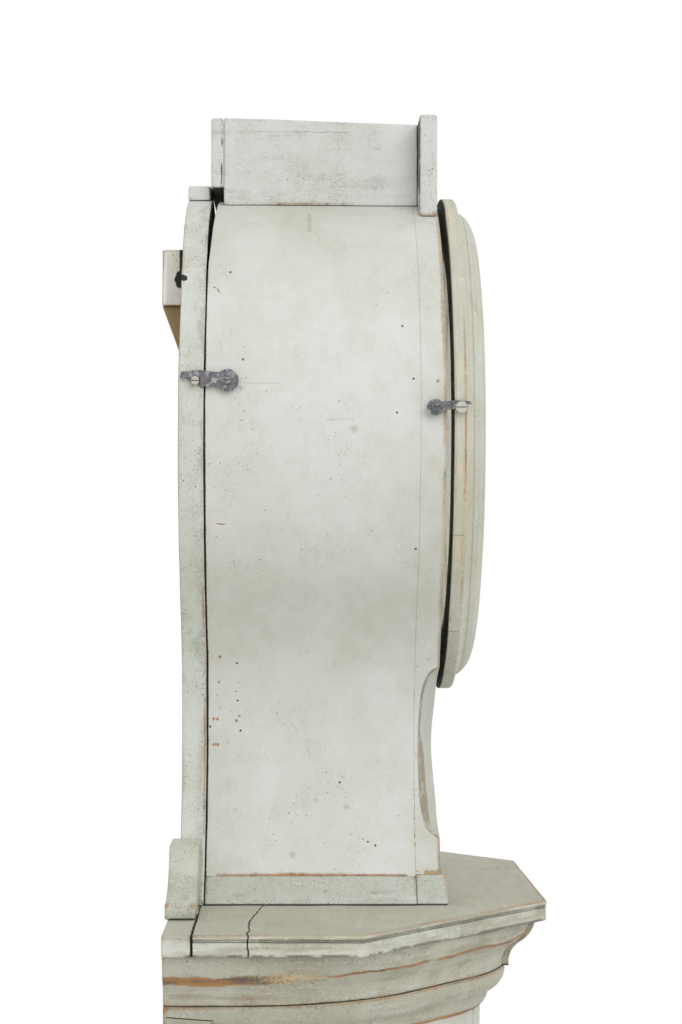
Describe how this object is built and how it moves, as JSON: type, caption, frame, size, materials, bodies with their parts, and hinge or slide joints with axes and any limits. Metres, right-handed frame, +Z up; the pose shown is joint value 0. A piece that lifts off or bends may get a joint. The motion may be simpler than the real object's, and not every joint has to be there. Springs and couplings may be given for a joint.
{
  "type": "mora clock",
  "caption": "Tall painted longcase clock with a round hood, hourglass trunk with a door, canted shoulders and base, pendulum movement and dial.",
  "frame": {"origin": "on the floor, under the middle of the clock's box", "axes": "+Z up, front of the clock faces -Y, +X to the right seen from the front"},
  "size_m": [0.632, 0.312, 2.022],
  "materials": {
    "painted_wood": "distressed pale grey-green oil paint over pine",
    "bare_wood": "bare aged pine",
    "iron": "forged dark iron",
    "painted_screw": "iron screws with old paint",
    "glass": "old clear window glass",
    "brass": "aged brass",
    "dial_paint": "cream painted dial",
    "hand_steel": "blackened steel",
    "cast_weight": "cast iron",
    "gut": "gut line"
  },
  "bodies": {
    "case": {"back_board": "painted_wood", "back_board_cap": "painted_wood", "wall_batten": "painted_wood", "back_board_ears": "painted_wood", "back_catch_screws": "painted_screw", "shoulder_plate": "painted_wood", "shoulder_back_rail": "painted_wood", "ogee_sides": "painted_wood", "ogee_front": "painted_wood", "bead_cove_moulding": "painted_wood", "trunk_front": "painted_wood", "trunk_side_left": "painted_wood", "trunk_side_right": "painted_wood", "trunk_frame_leaves": "iron", "base_panels": "painted_wood", "base_moulding": "painted_wood", "plinth_skirting": "painted_wood", "movement_seat": "bare_wood", "movement_plates": "brass", "movement_pillars": "brass", "movement_cocks": "iron", "bell": "brass", "dial": "dial_paint"},
    "hood": {"hood_front_board": "painted_wood", "hood_sheet": "painted_wood", "hood_back_rib": "bare_wood", "hood_rails": "painted_wood", "crown_box": "painted_wood", "crown_front": "painted_wood", "hood_hinge_leaves": "iron", "hook_pivot_screws": "painted_screw"},
    "hood_door": {"door_ring": "painted_wood", "door_glass": "glass", "door_hinge_leaves": "iron", "door_catch_screw": "painted_screw"},
    "door_hook": {"door_hook": "iron"},
    "back_hook_left": {"back_hook_left": "iron"},
    "back_hook_right": {"back_hook_right": "iron"},
    "trunk_door": {"trunk_door": "painted_wood", "trunk_door_leaves": "iron", "trunk_lock": "iron"},
    "key": {"door_key": "iron"},
    "bolt": {"lock_bolt": "iron"},
    "pendulum": {"pendulum_rod": "iron", "pendulum_bob": "brass"},
    "anchor": {"anchor": "iron"},
    "centre": {"centre_wheel": "brass", "minute_hand": "hand_steel"},
    "hour": {"hour_wheel": "brass", "hour_hand": "hand_steel"},
    "minute_arbor": {"minute_wheel": "brass"},
    "great": {"going_barrel": "brass"},
    "third": {"third_wheel": "brass"},
    "escape": {"escape_wheel": "brass"},
    "strike": {"strike_barrel": "brass"},
    "hammer": {"hammer": "iron"},
    "going_weight": {"going_weight": "cast_weight", "going_line": "gut"},
    "strike_weight": {"strike_weight": "cast_weight", "strike_line": "gut"}
  },
  "joints": [
    {"name": "hood_slide", "type": "slide", "parent": "case", "child": "hood", "axis": [0, -1, 0], "range_m": [0, 0.26]},
    {"name": "hood_door_swing", "type": "hinge", "parent": "hood", "child": "hood_door", "pos_m": [0.2115, -0.0733, 1.7537], "axis": [0, 0, 1], "range_deg": [0, 110]},
    {"name": "door_hook_turn", "type": "hinge", "parent": "hood", "child": "door_hook", "pos_m": [-0.2119, -0.061, 1.7687], "axis": [-1, 0, 0], "range_deg": [0, 100]},
    {"name": "back_hook_left_turn", "type": "hinge", "parent": "hood", "child": "back_hook_left", "pos_m": [-0.2084, 0.099, 1.789], "axis": [1, 0, 0], "range_deg": [0, 100]},
    {"name": "back_hook_right_turn", "type": "hinge", "parent": "hood", "child": "back_hook_right", "pos_m": [0.2084, 0.099, 1.789], "axis": [1, 0, 0], "range_deg": [0, 100]},
    {"name": "trunk_door_swing", "type": "hinge", "parent": "case", "child": "trunk_door", "pos_m": [0.08075, -0.112, 0.83], "axis": [0, 0, 1], "range_deg": [0, 110]},
    {"name": "key_turn", "type": "hinge", "parent": "trunk_door", "child": "key", "pos_m": [-0.056, -0.109, 0.82], "axis": [0, 1, 0], "range_deg": [0, 180]},
    {"name": "bolt_slide", "type": "slide", "parent": "trunk_door", "child": "bolt", "axis": [-1, 0, 0], "range_m": [0, 0.012]},
    {"name": "pendulum_swing", "type": "hinge", "parent": "case", "child": "pendulum", "pos_m": [0, 0.093, 1.81775], "axis": [0, 1, 0], "range_deg": [-2.5, 2.5]},
    {"name": "anchor_rock", "type": "hinge", "parent": "case", "child": "anchor", "pos_m": [0, 0.037, 1.81775], "axis": [0, 1, 0], "range_deg": [-2.5, 2.5]},
    {"name": "minute_turn", "type": "hinge", "parent": "case", "child": "centre", "pos_m": [0, 0.017, 1.7537], "axis": [0, 1, 0], "continuous": true},
    {"name": "hour_turn", "type": "hinge", "parent": "case", "child": "hour", "pos_m": [0, -0.023, 1.7537], "axis": [0, 1, 0], "continuous": true},
    {"name": "minute_wheel_turn", "type": "hinge", "parent": "case", "child": "minute_arbor", "pos_m": [0, -0.011, 1.7753], "axis": [0, 1, 0], "continuous": true},
    {"name": "great_turn", "type": "hinge", "parent": "case", "child": "great", "pos_m": [0.03, 0.037, 1.74173], "axis": [0, 1, 0], "continuous": true},
    {"name": "third_turn", "type": "hinge", "parent": "case", "child": "third", "pos_m": [-0.016, 0.037, 1.77777], "axis": [0, 1, 0], "continuous": true},
    {"name": "escape_turn", "type": "hinge", "parent": "case", "child": "escape", "pos_m": [0, 0.037, 1.79515], "axis": [0, 1, 0], "continuous": true},
    {"name": "strike_turn", "type": "hinge", "parent": "case", "child": "strike", "pos_m": [-0.03, 0.037, 1.74173], "axis": [0, 1, 0], "continuous": true},
    {"name": "hammer_strike", "type": "hinge", "parent": "case", "child": "hammer", "pos_m": [-0.03, 0.037, 1.8157], "axis": [0, 1, 0], "range_deg": [-20, 0], "stiffness_Nm_per_rad": 0.02},
    {"name": "going_weight_fall", "type": "slide", "parent": "case", "child": "going_weight", "axis": [0, 0, -1], "range_m": [-0.1, 0.95], "deforming": ["going_line"]},
    {"name": "strike_weight_fall", "type": "slide", "parent": "case", "child": "strike_weight", "axis": [0, 0, -1], "range_m": [-0.1, 0.95], "deforming": ["strike_line"]}
  ],
  "couplings": [
    {"joint": "hour_turn", "follows": "minute_turn", "ratio": 0.083333},
    {"joint": "minute_wheel_turn", "follows": "minute_turn", "ratio": -0.33333},
    {"joint": "great_turn", "follows": "minute_turn", "ratio": -0.13333},
    {"joint": "third_turn", "follows": "minute_turn", "ratio": -7.5},
    {"joint": "escape_turn", "follows": "minute_turn", "ratio": 60},
    {"joint": "anchor_rock", "follows": "pendulum_swing", "ratio": 1},
    {"joint": "key_turn", "follows": "bolt_slide", "rad_per_m": 261.8}
  ]
}
